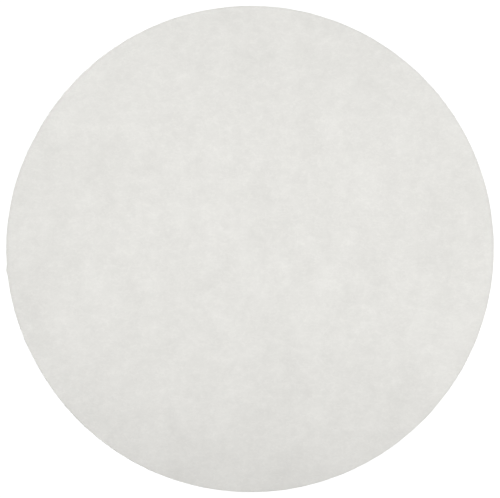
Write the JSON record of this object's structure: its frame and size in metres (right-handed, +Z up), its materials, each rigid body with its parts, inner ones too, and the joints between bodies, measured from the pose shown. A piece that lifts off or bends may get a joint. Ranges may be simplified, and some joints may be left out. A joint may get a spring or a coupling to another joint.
{
  "type": "filter paper disc",
  "caption": "Flat round sheet of plain white cellulose filter paper with a die-cut edge, laid in a laboratory funnel to hold back solids.",
  "frame": {"origin": "centre of the round outline, on the underside that lies on the bench", "axes": "+Z up out of the upper face, which the cutting die entered; -X towards the slight swelling of the edge where the die's ends met"},
  "size_m": [0.1104, 0.11, 0.0002],
  "materials": {
    "paper": "matte"
  },
  "bodies": {
    "root": {"filter_paper": "paper"}
  },
  "joints": []
}
